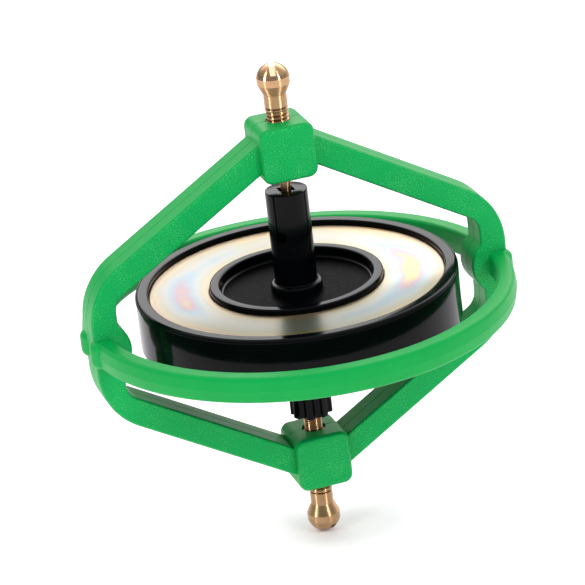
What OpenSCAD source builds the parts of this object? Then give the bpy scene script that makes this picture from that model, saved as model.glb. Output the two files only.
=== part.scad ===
// Hand gyroscope. A steel-weighted rotor turns on a spindle between two brass
// ball-headed screws, inside a frame of two identical moulded halves.
// Each half carries half of both hub blocks, one face of the four arms and one
// half of the guard ring, and the halves close on the plane of the arms.
// Z is the spin axis, X runs across the arms and the front half faces -Y.
// The origin is the centre of the rotor. Sizes are in millimetres.

/* [View] */
// Piece to draw on its own, or all of them
// Turn of the rotor about its axis, in degrees
rotor_turn = -44; // [-180:1:180]

/* [Rotor] */
// Outer diameter of the rotor wheel
rotor_d = 54.6; // [51:0.1:57]
// Height of the rotor wheel over its two rims
rotor_h = 9.5; // [8.8:0.1:10.4]
// Wall of the outer rim
rim_w = 2.25; // [1.6:0.05:2.8]
// Outer diameter of the raised rim around the dish
dish_rim_d = 29.4; // [26:0.1:32]
// Wall of the raised rim around the dish
dish_rim_w = 1.75; // [1.2:0.05:2.2]
// Depth of the dish on each side, below the rims
dish_depth = 2.2; // [1.6:0.1:2.5]
// Depth of the steel ring's face below the rims
weight_drop = 0.95; // [0.6:0.05:1.3]
// Thickness of the steel ring
weight_t = 6; // [4.5:0.1:6.2]
// Bevel on the wheel's two outer corners
rim_bevel = 0.4; // [0.2:0.05:0.8]
// Bevel on the wheel's other top and bottom corners
lip_bevel = 0.2; // [0.1:0.05:0.35]
// Bevel on the steel ring's upper corners
weight_bevel = 0.3; // [0.1:0.05:0.5]
// Clearance of the pressed joints, on each side
press_gap = 0.02; // [0.01:0.01:0.04]

/* [Spindle] */
// Length of the spindle
spindle_l = 40.8; // [38:0.1:44]
// Diameter of the spindle
spindle_d = 7.2; // [7:0.1:8]
// Diameter of the flange that seats in the dish
flange_d = 8.8; // [8.6:0.1:10.5]
// Thickness of the flange
flange_t = 1.5; // [1.1:0.1:1.8]
// Diameter of the cross hole for the starting string
string_d = 2; // [1.4:0.1:2.4]
// Height of the cross hole above the middle of the rotor
string_z = 13; // [10:0.1:15]
// Number of teeth on the lower end
teeth = 8; // [6:1:9]
// Length of the toothed end
teeth_l = 6.5; // [4:0.1:9]
// Depth of the grooves between the teeth
teeth_depth = 0.75; // [0.5:0.05:0.9]
// Width of the round grooves between the teeth
groove_d = 1.7; // [1.4:0.1:1.9]

/* [Bearings] */
// Diameter of the open recess in each end of the spindle
cup_d = 2.7; // [2.5:0.1:3.2]
// Depth of the open recess
cup_depth = 1.6; // [1.2:0.1:2.2]
// Width of the cross slot over the recess
cross_w = 0.7; // [0.5:0.05:0.9]
// Depth of the cross slot over the recess
cross_depth = 0.8; // [0.5:0.05:1.1]
// Diameter of the screw's journal
journal_d = 1; // [0.8:0.05:1.2]
// Length of the journal
journal_l = 1.1; // [0.8:0.1:1.5]
// Radial clearance of the journal in its bore
journal_gap = 0.05; // [0.03:0.01:0.08]
// End clearance under each journal
journal_end_gap = 0.1; // [0.05:0.05:0.2]

/* [Screws] */
// Thread diameter
thread_d = 4; // [3.6:0.1:4.6]
// Diameter of the plain neck under the head
neck_d = 3.9; // [3.5:0.1:4]
// Diameter of the ball head
ball_d = 5.6; // [5:0.1:6.4]
// Height of the ball head
ball_h = 5.1; // [4.8:0.05:5.8]
// Height of the straight band round the head
band_h = 1.3; // [0.8:0.1:1.6]
// Height of the cone from the neck to the band
cone_h = 1.6; // [1.2:0.1:1.8]
// Width of the screwdriver slot
slot_w = 1; // [0.8:0.1:1.5]
// Depth of the screwdriver slot
slot_depth = 1.3; // [0.8:0.1:1.6]
// Standing length of the thread outside the hub block
thread_out = 2.3; // [1:0.1:2.6]
// Length of the plain neck
neck_l = 2.4; // [1.5:0.05:3.5]
// Diameter of the lower screw's inner shank
shank_d = 3.1; // [2.8:0.1:3.4]
// Diameter of the pin between the journal and the shank or thread
pin_d = 2.3; // [2:0.1:2.6]
// Distance of the lower screw's shank from the spindle
shank_gap = 0.35; // [0.3:0.05:0.6]
// Distance of the thread's inner end inside the hub block
thread_in = 0.8; // [0.6:0.1:1.5]
// Turn of the upper screw's slot, in degrees
top_slot_turn = -14; // [-90:1:90]
// Turn of the lower screw's slot, in degrees
bottom_slot_turn = -40; // [-90:1:90]
// Clearance of the screw in its hub bore
bore_gap = 0.04; // [0.02:0.01:0.08]

/* [Hub blocks] */
// Width of a hub block, across the arms
hub_w = 9.5; // [9:0.1:11.5]
// Depth of a hub block, over both halves
hub_d = 9.6; // [8.6:0.1:11]
// Height of a hub block, along the spin axis
hub_h = 9.6; // [9:0.1:11]
// Space between the end of the spindle and the hub block
hub_gap = 2.8; // [2.3:0.1:3.6]
// Corner radius of a hub block, seen from the front
hub_r = 1.6; // [1:0.1:2.2]
// Edge radius of a hub block's front and back faces
hub_edge = 0.6; // [0.4:0.1:0.9]

/* [Arms] */
// Slope of the arms, in degrees
arm_slope = 31; // [28:0.5:33]
// Width of an arm, seen from the front
arm_w = 4.55; // [4:0.05:5]
// Depth of an arm, over both halves
arm_t = 6.4; // [5.6:0.1:7.4]
// Drop of the arm's middle below the hub block's middle, at its side
arm_drop = 0.6; // [0.2:0.1:1.2]
// Outer radius of the elbows
elbow_r = 12; // [9:0.5:13]
// Inner radius of the elbows
elbow_inner_r = 3.2; // [2:0.1:5]
// Radius of the round bosses that carry the ring
boss_r = 5.5; // [5:0.1:6]
// Distance of the bosses' centres inside the arms' outer edges
boss_inset = 0.9; // [0.5:0.1:1.3]

/* [Guard ring] */
// Space between the rotor and the ring
ring_gap = 6.1; // [5.2:0.1:7.5]
// Radial width of the ring
ring_w = 3.4; // [3:0.1:4]
// Height of the ring
ring_h = 4.5; // [4:0.1:5.4]
// Outward lean of the ring's two outer facets
ring_lean = 0.35; // [0.2:0.05:0.6]
// Inward lean of the ring's two inner facets
ring_inner_lean = 0.15; // [0.05:0.05:0.3]
// Diameter of the round knob on each end of a ring half
knob_d = 4.1; // [3.8:0.05:4.2]
// Height of the knobs
knob_h = 4.8; // [4.5:0.1:5.4]
// Edge radius of the knobs
knob_edge = 1.4; // [0.8:0.1:1.8]
// Distance of the knobs outside the arms
knob_proud = 0.8; // [0.4:0.1:1]
// Distance of the ring's outer ridge outside the arms
ring_proud = 0.15; // [0:0.05:0.4]
// Gap between the two ring halves' ends
ring_split = 2; // [1.2:0.1:3]

/* [Locating pegs] */
// Diameter of the pegs in the hub blocks
peg_d = 1.2; // [1:0.1:1.4]
// Diameter of the pegs in the bosses
boss_peg_d = 2.2; // [1.6:0.1:2.6]
// Length of the pegs
peg_l = 1.6; // [1:0.1:2.2]
// Radial clearance of a peg in its hole
peg_gap = 0.05; // [0.03:0.01:0.08]

/* [Hidden] */
$fn = 64;
green = [0.02, 0.6, 0.3];
brass = [0.72, 0.53, 0.3];
black = [0.1, 0.1, 0.11];
steel = [0.82, 0.81, 0.78];

// Levels along the spin axis
spindle_end = spindle_l / 2;
hub_in = spindle_end + hub_gap;
hub_out = hub_in + hub_h;
hub_mid = (hub_in + hub_out) / 2;
neck_start = hub_out + thread_out;
ball_start = neck_start + neck_l;
ball_top = ball_start + ball_h;
journal_start = spindle_end - cup_depth + 0.1;
journal_tip = journal_start - journal_l;
thread_start = hub_in + thread_in;

// Small bevel on the screws' corners
edge = 0.15;

// Radii of the guard ring and the frame's outline
ring_in = rotor_d / 2 + ring_gap;
ring_out = ring_in + ring_w;
side_out = ring_out - ring_proud;
side_in = side_out - arm_w;
boss_x = side_out - boss_inset;
knob_x = side_out + knob_proud - knob_d / 2;
knob_y = ring_split / 2 + knob_d / 2;

// Heights at which the arms' edges would meet the spin axis
arm_mid_z = hub_mid - arm_drop + hub_w / 2 * tan(arm_slope);
arm_half_z = arm_w / 2 / cos(arm_slope);

// Rotor radii
rim_in = rotor_d / 2 - rim_w;
dish_rim_r = dish_rim_d / 2;
dish_r = dish_rim_r - dish_rim_w;
dish_z = rotor_h / 2 - dish_depth;
weight_top = rotor_h / 2 - weight_drop;
web_low = -weight_top;

function unit(v) = v / norm(v);
function spot(c) = [c[0], c[1]];

// A convex outline with rounded corners, from a list of [x, y, radius]
module rounded(c) {
  n = len(c);
  polygon([
    for (i = [0 : n - 1])
      let (b = spot(c[i]))
      let (u = unit(spot(c[(i + n - 1) % n]) - b))
      let (v = unit(spot(c[(i + 1) % n]) - b))
      let (t = c[i][2] / tan(acos(u * v) / 2))
      each [b + u * t, b + v * t]
  ]);
  for (i = [0 : n - 1])
    let (b = spot(c[i]))
    let (u = unit(spot(c[(i + n - 1) % n]) - b))
    let (v = unit(spot(c[(i + 1) % n]) - b))
    translate(b + unit(u + v) * c[i][2] / sin(acos(u * v) / 2))
      circle(c[i][2]);
}

module rounded_box_outline(w, h, r) {
  rounded([
    [-w / 2, -h / 2, r],
    [w / 2, -h / 2, r],
    [w / 2, h / 2, r],
    [-w / 2, h / 2, r]
  ]);
}

// The frame's six-sided outline, seen from the front
module frame_outline(x, z_axis, r) {
  z_side = z_axis - x * tan(arm_slope);
  rounded([
    [0, z_axis, 0.5],
    [x, z_side, r],
    [x, -z_side, r],
    [0, -z_axis, 0.5],
    [-x, -z_side, r],
    [-x, z_side, r]
  ]);
}

// Stands a front-view outline up and pulls it forward from the split plane
module pull(depth) {
  rotate([90, 0, 0])
    linear_extrude(depth)
      children();
}

// Arms and bosses of one half
module arms_half() {
  pull(arm_t / 2)
    difference() {
      frame_outline(side_out, arm_mid_z + arm_half_z, elbow_r);
      difference() {
        frame_outline(side_in, arm_mid_z - arm_half_z, elbow_inner_r);
        for (s = [-1, 1])
          translate([s * boss_x, 0])
            circle(boss_r);
      }
    }
}

// Half of a hub block, with its front edges rounded
module hub_half() {
  intersection() {
    pull(hub_d / 2)
      rounded_box_outline(hub_w, hub_h, hub_r);
    translate([-hub_w / 2, 0, 0])
      rotate([90, 0, 90])
        linear_extrude(hub_w)
          rounded_box_outline(hub_d, hub_h, hub_edge);
    translate([0, 0, -hub_h / 2])
      linear_extrude(hub_h)
        rounded_box_outline(hub_w, hub_d, hub_edge);
  }
}

// Section of the guard ring: a bar with a low ridge inside and out, where the
// mould closes at mid height
module ring_section() {
  rounded([
    [ring_in, 0, 0.3],
    [ring_in + ring_inner_lean, -ring_h / 2, 0.7],
    [ring_out - ring_lean, -ring_h / 2, 0.8],
    [ring_out, 0, 0.3],
    [ring_out - ring_lean, ring_h / 2, 0.8],
    [ring_in + ring_inner_lean, ring_h / 2, 0.7]
  ]);
}

// Front half of the guard ring, with a round knob on each end
module ring_half() {
  difference() {
    rotate_extrude($fn = 180)
      ring_section();
    translate([-ring_out - 1, -knob_y, -ring_h])
      cube([2 * ring_out + 2, ring_out + knob_y + 1, 2 * ring_h]);
  }
  for (s = [-1, 1])
    translate([s * knob_x, -knob_y, 0])
      ring_knob();
}

module ring_knob() {
  rotate_extrude()
    intersection() {
      rounded_box_outline(knob_d, knob_h, knob_edge);
      translate([0, -knob_h])
        square([knob_d, 2 * knob_h]);
    }
}

// Pegs on one side of a half, and the holes for the other half's on its other
// side: one pair in each hub block and one in the bosses
module pegs(side, gap) {
  for (s = [-1, 1])
    translate([side * (hub_w + thread_d) / 4, 0, s * hub_mid])
      rotate([90, 0, 0])
        cylinder(r = peg_d / 2 + gap, h = 2 * (peg_l + gap), center = true);
  translate([side * (boss_x - 1), 0, 0])
    rotate([90, 0, 0])
      cylinder(r = boss_peg_d / 2 + gap, h = 2 * (peg_l + gap), center = true);
}

// One moulded half of the frame. The other half is the same, turned about Z.
module frame_half() {
  difference() {
    union() {
      arms_half();
      ring_half();
      for (s = [-1, 1])
        translate([0, 0, s * hub_mid])
          hub_half();
    }
    for (s = [-1, 1])
      translate([0, 0, s * hub_mid])
        cylinder(d = thread_d + 2 * bore_gap, h = hub_h + 2, center = true);
    pegs(-1, peg_gap);
  }
  pegs(1, 0);
}

module frame_front() {
  color(green)
    frame_half();
}

module frame_back() {
  color(green)
    rotate([0, 0, 180])
      frame_half();
}

// A brass adjusting screw, pointing up. Its shank is given as points from the
// pin to the thread.
module screw(shank, slot_turn) {
  difference() {
    rotate_extrude()
      difference() {
        polygon([
          [0, journal_tip],
          [journal_d / 2 - edge, journal_tip],
          [journal_d / 2, journal_tip + edge],
          [journal_d / 2, journal_start],
          [(journal_d + pin_d) / 4, spindle_end],
          each shank,
          [thread_d / 2 - 2 * edge, thread_start - 2 * edge],
          [thread_d / 2, thread_start],
          [thread_d / 2, neck_start - 0.05],
          [neck_d / 2, neck_start],
          [neck_d / 2, ball_start],
          [ball_d / 2, ball_start + cone_h],
          [ball_d / 2, ball_start + cone_h + band_h],
          [ball_d / 2, ball_top],
          [0, ball_top]
        ]);
        dome_cut();
      }
    rotate([0, 0, slot_turn])
      translate([0, 0, ball_top])
        cube([slot_w, ball_d + 1, 2 * slot_depth], center = true);
  }
}

// What the dome leaves away above the head's band
module dome_cut() {
  dome_z = ball_start + cone_h + band_h;
  dome_h = ball_top - dome_z;
  dome_r = (pow(ball_d / 2, 2) + pow(dome_h, 2)) / (2 * dome_h);
  difference() {
    translate([-0.5, dome_z])
      square([ball_d, dome_h + 1]);
    translate([0, ball_top - dome_r])
      circle(dome_r, $fn = 96);
  }
}

module top_screw() {
  thin_pin = [
    [pin_d / 2, hub_in],
    [pin_d / 2, thread_start - 2 * edge]
  ];
  color(brass)
    screw(thin_pin, top_slot_turn);
}

module bottom_screw() {
  thick_shank = [
    [pin_d / 2, spindle_end + shank_gap],
    [shank_d / 2 - edge, spindle_end + shank_gap],
    [shank_d / 2, spindle_end + shank_gap + edge],
    [shank_d / 2, thread_start - 2 * edge]
  ];
  color(brass)
    rotate([180, 0, 0])
      screw(thick_shank, bottom_slot_turn);
}

// Moulded wheel: two rims, a web with a trough for the steel ring, and a
// dished hub with the spindle's bore
module rotor_wheel() {
  color(black)
    rotate_extrude($fn = 180)
      polygon([
        [spindle_d / 2 + press_gap, -dish_z],
        [dish_r, -dish_z],
        [dish_r, -rotor_h / 2 + lip_bevel],
        [dish_r + lip_bevel, -rotor_h / 2],
        [dish_rim_r - lip_bevel, -rotor_h / 2],
        [dish_rim_r, -rotor_h / 2 + lip_bevel],
        [dish_rim_r, web_low],
        [rim_in, web_low],
        [rim_in, -rotor_h / 2 + lip_bevel],
        [rim_in + lip_bevel, -rotor_h / 2],
        [rotor_d / 2 - rim_bevel, -rotor_h / 2],
        [rotor_d / 2, -rotor_h / 2 + rim_bevel],
        [rotor_d / 2, rotor_h / 2 - rim_bevel],
        [rotor_d / 2 - rim_bevel, rotor_h / 2],
        [rim_in + lip_bevel, rotor_h / 2],
        [rim_in, rotor_h / 2 - lip_bevel],
        [rim_in, weight_top - weight_t],
        [dish_rim_r, weight_top - weight_t],
        [dish_rim_r, rotor_h / 2 - lip_bevel],
        [dish_rim_r - lip_bevel, rotor_h / 2],
        [dish_r + lip_bevel, rotor_h / 2],
        [dish_r, rotor_h / 2 - lip_bevel],
        [dish_r, dish_z],
        [spindle_d / 2 + press_gap, dish_z]
      ]);
}

// Turned steel ring, pressed into the wheel's trough
module weight_ring() {
  color(steel)
    rotate_extrude($fn = 180)
      polygon([
        [dish_rim_r + press_gap, weight_top - weight_t],
        [rim_in - press_gap, weight_top - weight_t],
        [rim_in - press_gap, weight_top - weight_bevel],
        [rim_in - press_gap - weight_bevel, weight_top],
        [dish_rim_r + press_gap + weight_bevel, weight_top],
        [dish_rim_r + press_gap, weight_top - weight_bevel]
      ]);
}

// Moulded spindle, pushed through the wheel until its flange seats
module spindle() {
  color(black)
    rotate([0, 0, rotor_turn])
      difference() {
        union() {
          cylinder(d = spindle_d, h = spindle_l, center = true);
          translate([0, 0, dish_z])
            cylinder(d = flange_d, h = flange_t);
        }
        for (m = [0, 1])
          mirror([0, 0, m])
            bearing_hollow();
        translate([0, 0, string_z])
          rotate([90, 0, 0])
            cylinder(d = string_d, h = spindle_d + 2, center = true);
        for (i = [0 : teeth - 1])
          rotate([0, 0, i * 360 / teeth])
            translate([spindle_d / 2 + groove_d / 2 - teeth_depth, 0, -spindle_end - 1])
              cylinder(d = groove_d, h = teeth_l + 1, $fn = 32);
      }
}

// Recess in the spindle's upper end: an open cup with a cross slot, and the
// small bore that the journal turns in
module bearing_hollow() {
  translate([0, 0, spindle_end - cup_depth])
    cylinder(d = cup_d, h = cup_depth + 1);
  translate([0, 0, journal_tip - journal_end_gap])
    cylinder(d = journal_d + 2 * journal_gap, h = journal_l + 1);
  for (a = [0, 90])
    rotate([0, 0, a])
      translate([-cup_d / 2 - cross_w / 2, -cross_w / 2, spindle_end - cross_depth])
        cube([cup_d + cross_w, cross_w, cross_depth + 1]);
}

frame_front();
frame_back();
top_screw();
bottom_screw();
rotor_wheel();
weight_ring();
spindle();
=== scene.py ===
import math

import bmesh
import bpy
from mathutils import Matrix, Vector
from mathutils.geometry import tessellate_polygon


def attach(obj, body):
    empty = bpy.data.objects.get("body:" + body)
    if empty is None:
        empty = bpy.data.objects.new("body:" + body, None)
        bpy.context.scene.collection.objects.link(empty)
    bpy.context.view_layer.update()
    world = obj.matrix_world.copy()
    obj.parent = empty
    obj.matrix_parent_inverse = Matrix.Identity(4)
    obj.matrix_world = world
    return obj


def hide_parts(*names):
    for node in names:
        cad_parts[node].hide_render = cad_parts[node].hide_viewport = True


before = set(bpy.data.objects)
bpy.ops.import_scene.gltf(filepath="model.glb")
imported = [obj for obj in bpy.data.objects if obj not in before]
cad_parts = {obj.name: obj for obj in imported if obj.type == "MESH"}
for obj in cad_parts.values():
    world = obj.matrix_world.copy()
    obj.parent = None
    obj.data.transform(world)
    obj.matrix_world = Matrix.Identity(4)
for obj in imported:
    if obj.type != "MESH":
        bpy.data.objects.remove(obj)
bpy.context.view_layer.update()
mm = 0.001


# ----------------------------------------------------------------------------------------------------------
# Frame. Two identical injection-moulded ABS halves close on the plane of the arms. Each has half of both hub
# blocks, one face of the four arms and one half of the guard ring. The mould was spark-eroded on the flat
# faces, which sparkle finely, in part as painted glints. The ring and the edges are smooth, and every outer
# edge is softly rounded.

spindle_end = 20.4 * mm
hub_w = 9.5 * mm
hub_h = 9.6 * mm
hub_d = 9.6 * mm
hub_gap = 2.8 * mm
hub_in = spindle_end + hub_gap
hub_out = hub_in + hub_h
hub_mid = (hub_in + hub_out) / 2
hub_r = 1.6 * mm
hub_round = 0.75 * mm
thread_r = 2 * mm
bore_gap = 0.04 * mm
screw_bore_r = thread_r + bore_gap
bore_facets = 64

ring_in = 33.4 * mm
ring_out = 36.8 * mm
ring_h = 4.5 * mm
ring_proud = 0.15 * mm
ring_split = 2 * mm
ring_facets = 160
ring_lean = 0.35 * mm
ring_inner_lean = 0.15 * mm

arm_slope = math.radians(31)
arm_w = 4.55 * mm
arm_t = 6.4 * mm
arm_round = 0.45 * mm
arm_drop = 0.6 * mm
side_out = ring_out - ring_proud
side_in = side_out - arm_w
arm_mid_z = hub_mid - arm_drop + hub_w / 2 * math.tan(arm_slope)
arm_half_z = arm_w / 2 / math.cos(arm_slope)
elbow_r = 12 * mm
elbow_inner_r = 3.2 * mm
boss_inset = 0.9 * mm
boss_x = side_out - boss_inset
boss_r = 5.5 * mm

knob_r = 2.05 * mm
knob_h = ring_h + 0.3 * mm
knob_edge = 1.4 * mm
knob_proud = 0.8 * mm
knob_facets = 48
knob_x = side_out + knob_proud - knob_r
knob_y = ring_split / 2 + knob_r


def arc(centre, radius, start, end, steps):
    """Points on an arc between two angles, given in radians."""
    turns = [start + (end - start) * k / steps for k in range(steps + 1)]
    return [(centre[0] + radius * math.cos(t), centre[1] + radius * math.sin(t)) for t in turns]


def rounded_loop(corners, steps=6):
    """A closed outline from corners (x, z, radius), each rounded inside its own two edges."""
    points = []
    for i, (x, z, radius) in enumerate(corners):
        corner = Vector((x, z))
        back = (Vector(corners[i - 1][:2]) - corner).normalized()
        on = (Vector(corners[(i + 1) % len(corners)][:2]) - corner).normalized()
        if radius == 0:
            points.append((x, z))
            continue
        half = back.angle(on) / 2
        centre = corner + (back + on).normalized() * (radius / math.sin(half))
        first = corner + back * (radius / math.tan(half)) - centre
        sweep = math.pi - 2 * half
        sweep = sweep if back.cross(on) < 0 else -sweep
        start = math.atan2(first.y, first.x)
        points.extend(arc(centre, radius, start, start + sweep, steps))
    return points


def mirrored(half):
    """A closed outline from its right half, which runs from the top to the bottom of the spin axis."""
    return half + [(-x, z) for x, z in reversed(half) if abs(x) > 1e-9]


def frame_outline(back):
    """The frame's outer outline, with its edge drawn back by so much."""
    apex = arm_mid_z + arm_half_z
    elbow_x = side_out - elbow_r
    elbow = (elbow_x, apex - elbow_x * math.tan(arm_slope) - elbow_r / math.cos(arm_slope))
    turn = math.pi / 2 - arm_slope
    upper = arc(elbow, elbow_r - back, turn, 0, 30)
    lower = [(x, -z) for x, z in reversed(upper)]
    top = apex - back / math.cos(arm_slope)
    return mirrored([(0, top), *upper, *lower, (0, -top)])


def window_outline(back):
    """The opening between the arms, with a round boss on each side, and its edge drawn back by so much."""
    apex = arm_mid_z - arm_half_z
    elbow_x = side_in - elbow_inner_r
    elbow = (elbow_x, apex - elbow_x * math.tan(arm_slope) - elbow_inner_r / math.cos(arm_slope))
    upper = arc(elbow, elbow_inner_r + back, math.pi / 2 - arm_slope, 0, 12)
    lower = [(x, -z) for x, z in reversed(upper)]
    reach = math.acos((boss_x - side_in - back) / (boss_r - back))
    boss = arc((boss_x, 0), boss_r - back, math.pi - reach, math.pi + reach, 40)
    top = apex + back / math.cos(arm_slope)
    return mirrored([(0, top), *upper, *boss, *lower, (0, -top)])


def hub_outline(middle):
    """The outline of a hub block at a height on the spin axis, as a function of how far it is drawn back."""
    def outline(back):
        x, z, radius = hub_w / 2 - back, hub_h / 2 - back, hub_r - back
        return [(px, pz + middle) for px, pz in rounded_loop(
            [(x, z, radius), (x, -z, radius), (-x, -z, radius), (-x, z, radius)], 10)]
    return outline


def new_piece(name, points, faces):
    """A mesh object of these points and faces, its doubles merged and its faces turned outwards."""
    mesh = bpy.data.meshes.new(name)
    mesh.from_pydata(points, [], faces)
    shape = bmesh.new()
    shape.from_mesh(mesh)
    bmesh.ops.remove_doubles(shape, verts=shape.verts, dist=0.001 * mm)
    bmesh.ops.recalc_face_normals(shape, faces=shape.faces)
    shape.to_mesh(mesh)
    shape.free()
    piece = bpy.data.objects.new(name, mesh)
    bpy.context.scene.collection.objects.link(piece)
    return piece


def plate(name, outlines, depth, front_round):
    """A plate from the split plane forward. Its front edges are rounded, and its split edges are just broken,
    so that the closed halves show a fine parting line. Each outline is given as a function of how far it is
    drawn back."""
    broken, steps = 0.1 * mm, 6
    levels = [(0, broken), (-broken, 0)]
    for k in range(steps + 1):
        turn = math.pi / 2 * k / steps
        levels.append((front_round * (1 - math.sin(turn)) - depth, front_round * (1 - math.cos(turn))))
    points, faces, starts = [], [], []
    for y, back in levels:
        loops = [outline(back) for outline in outlines]
        starts.append([len(points) + sum(len(other) for other in loops[:i]) for i in range(len(loops))])
        points.extend((x, y, z) for loop in loops for x, z in loop)
    for low, high in zip(starts, starts[1:]):
        for a, b, loop in zip(low, high, loops):
            n = len(loop)
            faces.extend((a + i, a + (i + 1) % n, b + (i + 1) % n, b + i) for i in range(n))
    for start in (starts[0], starts[-1]):
        rims = [[Vector((points[a + i][0], points[a + i][2], 0)) for i in range(len(loop))]
                for a, loop in zip(start, loops)]
        faces.extend(tuple(start[0] + i for i in triangle) for triangle in tessellate_polygon(rims))
    return new_piece(name, points, faces)


def turned(name, profile, steps, closed=False, centre=(0, 0), turns=(0, 2 * math.pi)):
    """A surface turned about an upright axis from (radius, height) points. A part turn is capped."""
    whole = turns[1] - turns[0] > 6.28
    columns = steps if whole else steps + 1
    points, faces, n = [], [], len(profile)
    for i in range(columns):
        t = turns[0] + (turns[1] - turns[0]) * i / steps
        points.extend((centre[0] + r * math.cos(t), centre[1] + r * math.sin(t), z) for r, z in profile)
    for i in range(steps):
        a, b = i * n, (i + 1) % columns * n
        faces.extend((a + k, b + k, b + (k + 1) % n, a + (k + 1) % n) for k in range(n if closed else n - 1))
    if not whole:
        faces.extend([tuple(range(n)), tuple(range(steps * n, steps * n + n))])
    return new_piece(name, points, faces)


def bake(piece):
    """Turns what a piece's modifiers make into its own mesh."""
    bpy.context.view_layer.update()
    made = bpy.data.meshes.new_from_object(piece.evaluated_get(bpy.context.evaluated_depsgraph_get()))
    piece.modifiers.clear()
    piece.data = made


def combine(piece, others, operation):
    """Joins other solids to a piece, or cuts them from it."""
    for other in others:
        step = piece.modifiers.new(operation, "BOOLEAN")
        step.operation = operation
        step.solver = "MANIFOLD"
        step.object = other
    bake(piece)
    for other in others:
        bpy.data.objects.remove(other)


def smooth(piece, edge_angle=30):
    """Shades a piece smooth, with its true edges crisp and its flat faces flat."""
    piece.data.shade_smooth()
    piece.data.set_sharp_from_angle(angle=math.radians(edge_angle))
    normals = piece.modifiers.new("flat faces", "WEIGHTED_NORMAL")
    normals.keep_sharp = True
    bake(piece)


def linear(colour):
    """The linear colour, with full alpha, of an sRGB hex value."""
    channels = [int(colour[i:i + 2], 16) / 255 for i in (1, 3, 5)]
    return (*(c / 12.92 if c <= 0.04045 else ((c + 0.055) / 1.055) ** 2.4 for c in channels), 1)


def add(tree, kind, settings=None, inputs=None):
    """Adds a node with its settings, and its inputs by name or number: a value or another node's output."""
    node = tree.nodes.new(kind)
    for name, value in (settings or {}).items():
        setattr(node, name, value)
    for name, value in (inputs or {}).items():
        if isinstance(value, bpy.types.NodeSocket):
            tree.links.new(value, node.inputs[name])
        else:
            node.inputs[name].default_value = value
    return node


def new_material(name):
    """An empty node material."""
    material = bpy.data.materials.new(name)
    material.use_nodes = True
    material.node_tree.nodes.clear()
    return material, material.node_tree


# Moulded ABS, dyed through. The eroded faces scatter the light in small grains about 0.2 mm across, which
# sparkle, and the polished faces of the mould leave a satin gloss. The sparkle is partly painted: lighter
# green flecks in the colour are painted glints, and those flecks are also a little glossier. Both are one
# material, told apart by which way the surface faces.
def moulded_abs():
    material, tree = new_material("moulded_green_abs")
    place = add(tree, "ShaderNodeTexCoord")
    split = add(tree, "ShaderNodeSeparateXYZ", inputs={0: place.outputs["Normal"]})
    facing = add(tree, "ShaderNodeMath", {"operation": "ABSOLUTE"}, {0: split.outputs["Y"]})
    front = add(tree, "ShaderNodeMapRange", {"interpolation_type": "SMOOTHSTEP"},
                {"Value": facing.outputs[0], "From Min": 0.55, "From Max": 0.9})
    where = add(tree, "ShaderNodeSeparateXYZ", inputs={0: place.outputs["Object"]})
    depth = add(tree, "ShaderNodeMath", {"operation": "ABSOLUTE"}, {0: where.outputs["Y"]})
    near = add(tree, "ShaderNodeMapRange", {"interpolation_type": "SMOOTHSTEP"}, {
        "Value": depth.outputs[0], "From Min": hub_d / 2 + 0.4 * mm, "From Max": hub_d / 2 + 0.8 * mm,
        "To Min": 1.0, "To Max": 0.0})
    eroded = add(tree, "ShaderNodeMath", {"operation": "MULTIPLY"},
                 {0: front.outputs["Result"], 1: near.outputs["Result"]})
    grain_size = 0.2 * mm
    grain = add(tree, "ShaderNodeTexNoise", inputs={
        "Vector": place.outputs["Object"], "Scale": 1 / grain_size, "Detail": 2.0, "Roughness": 0.6})
    cloud = add(tree, "ShaderNodeTexNoise", inputs={
        "Vector": place.outputs["Object"], "Scale": 1 / (5 * mm), "Detail": 2.0})
    dense = add(tree, "ShaderNodeMapRange", inputs={
        "Value": cloud.outputs["Fac"], "From Min": 0.35, "From Max": 0.65, "To Min": -0.06, "To Max": 0.05})
    lit = add(tree, "ShaderNodeMath", {"operation": "ADD"},
              {0: grain.outputs["Fac"], 1: dense.outputs["Result"]})
    painted_glint_edge = add(tree, "ShaderNodeMapRange", inputs={
        "Value": lit.outputs[0], "From Min": 0.58, "From Max": 0.74})
    painted_glint_flecks = add(tree, "ShaderNodeMath", {"operation": "MULTIPLY"},
                 {0: painted_glint_edge.outputs["Result"], 1: eroded.outputs[0]})
    shade = add(tree, "ShaderNodeMapRange", inputs={
        "Value": grain.outputs["Fac"], "From Min": 0.3, "From Max": 0.6})
    body = add(tree, "ShaderNodeMix", {"data_type": "RGBA"}, {
        "Factor": shade.outputs["Result"], "A": linear("#009048"), "B": linear("#00A856")})
    smooth_skin = add(tree, "ShaderNodeMix", {"data_type": "RGBA"}, {
        "Factor": cloud.outputs["Fac"], "A": linear("#009044"), "B": linear("#089A48")})
    polish = add(tree, "ShaderNodeMix", {"data_type": "RGBA"}, {
        "Factor": eroded.outputs[0], "A": smooth_skin.outputs["Result"], "B": body.outputs["Result"]})
    # The lighter flecks mixed into the colour here are painted glints. The same flecks are also made a little
    # glossier.
    colour = add(tree, "ShaderNodeMix", {"data_type": "RGBA"}, {
        "Factor": painted_glint_flecks.outputs[0], "A": polish.outputs["Result"], "B": linear("#54C870")})
    roughness = add(tree, "ShaderNodeMapRange", inputs={
        "Value": painted_glint_flecks.outputs[0], "To Min": 0.42, "To Max": 0.3})
    height = add(tree, "ShaderNodeMath", {"operation": "MULTIPLY"},
                 {0: grain.outputs["Fac"], 1: eroded.outputs[0]})
    bump = add(tree, "ShaderNodeBump", inputs={
        "Strength": 0.9, "Distance": 0.16 * mm, "Height": height.outputs[0]})
    shader = add(tree, "ShaderNodeBsdfPrincipled", inputs={
        "Base Color": colour.outputs["Result"], "Roughness": roughness.outputs["Result"],
        "IOR": 1.5, "Specular IOR Level": 0.16, "Specular Tint": linear("#FFF8A0"),
        "Normal": bump.outputs["Normal"]})
    add(tree, "ShaderNodeOutputMaterial", inputs={"Surface": shader.outputs[0]})
    return material


abs_green = moulded_abs()


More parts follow.
